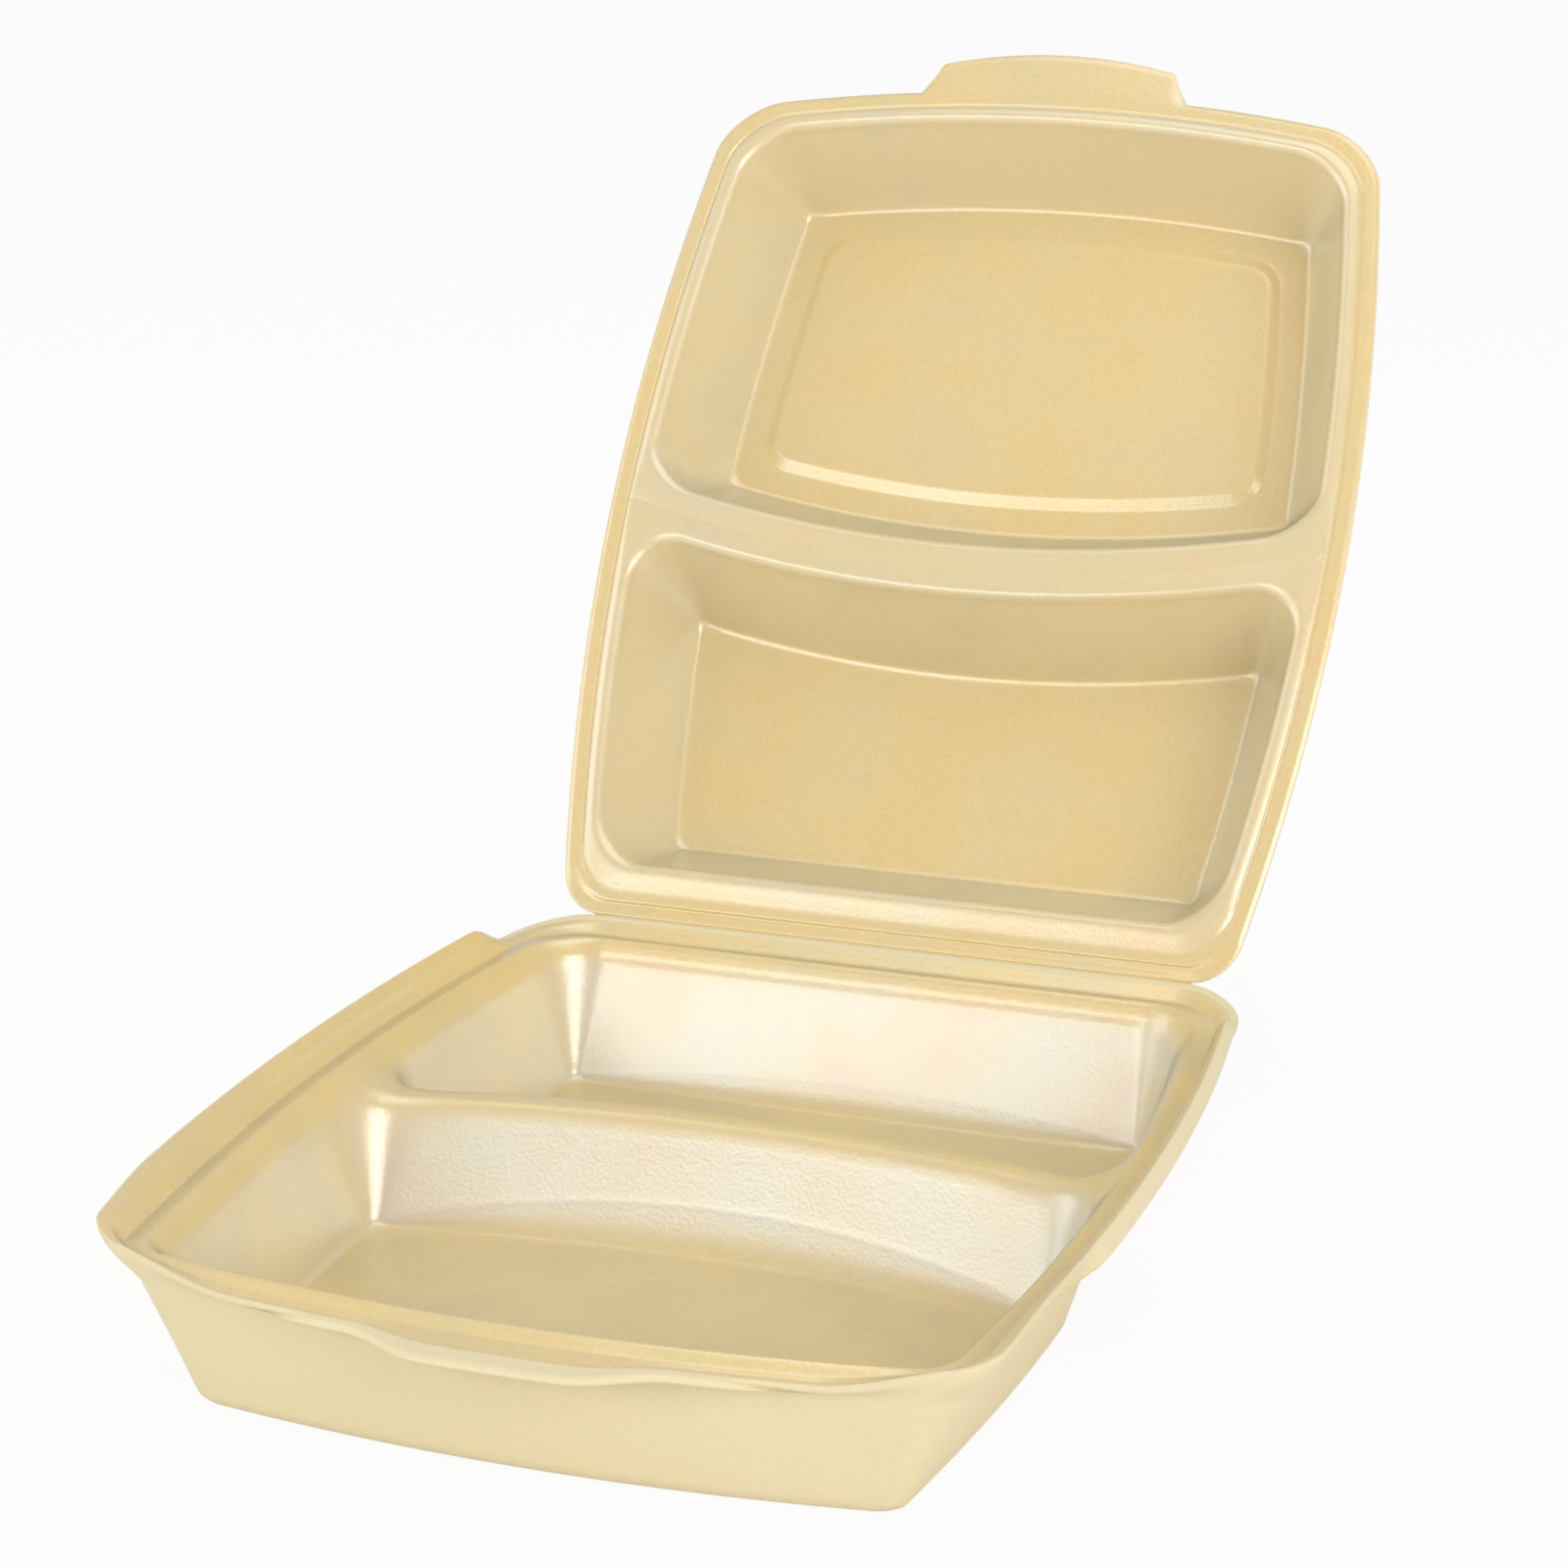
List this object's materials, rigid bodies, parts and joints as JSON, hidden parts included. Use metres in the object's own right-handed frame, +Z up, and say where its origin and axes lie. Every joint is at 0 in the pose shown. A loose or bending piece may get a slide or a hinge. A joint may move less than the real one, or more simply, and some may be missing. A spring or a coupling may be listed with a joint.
{
  "type": "hinged two-compartment meal box",
  "caption": "Open foam meal box: a shallow tray with a curved divider and a matching domed lid that turns on a pressed hinge along the back.",
  "frame": {"origin": "middle of the front compartment's flat foot, on the table", "axes": "+X across the box to the right seen from the front, +Y from the front edge back to the hinge, +Z up from the table"},
  "size_m": [0.2104, 0.4013, 0.2458],
  "materials": {
    "tray_foam": "satin film over foam",
    "lid_foam": "satin film over foam"
  },
  "bodies": {
    "tray": {"tray": "tray_foam"},
    "lid": {"lid": "lid_foam"}
  },
  "joints": [
    {"name": "lid_hinge", "type": "hinge", "parent": "tray", "child": "lid", "pos_m": [0, 0.175, 0.038], "axis": [1, 0, 0], "range_deg": [-54.8, 125.1]}
  ]
}
